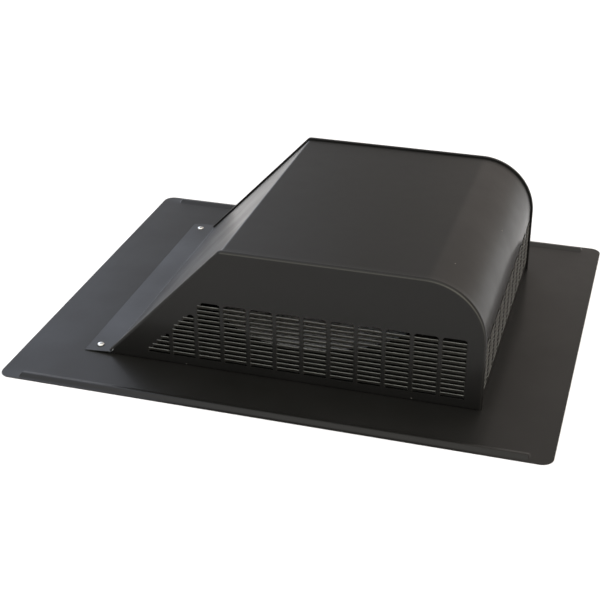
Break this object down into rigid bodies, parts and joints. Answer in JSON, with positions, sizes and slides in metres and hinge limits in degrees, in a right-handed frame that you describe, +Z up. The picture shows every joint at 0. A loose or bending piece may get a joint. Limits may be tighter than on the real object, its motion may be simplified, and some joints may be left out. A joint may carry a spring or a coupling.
{
  "type": "roof vent",
  "caption": "Slant-back static roof vent: flat flashing flange with a round throat under a folded sheet hood with louvred sides and a louvred rolled front.",
  "frame": {"origin": "middle of the flange's underside, on the axis of the throat", "axes": "+X down the roof towards the louvred front, +Y across the roof, +Z up out of the roof"},
  "size_m": [0.47, 0.394, 0.1136],
  "materials": {
    "black_paint": "satin black coil coat on aluminium sheet",
    "bare_aluminium": "bright mill finish"
  },
  "bodies": {
    "root": {"base_flange": "black_paint", "hood_cover": "black_paint", "left_side_panel": "black_paint", "right_side_panel": "black_paint", "foot_rivets": "bare_aluminium", "inner_rivets": "bare_aluminium"}
  },
  "joints": []
}
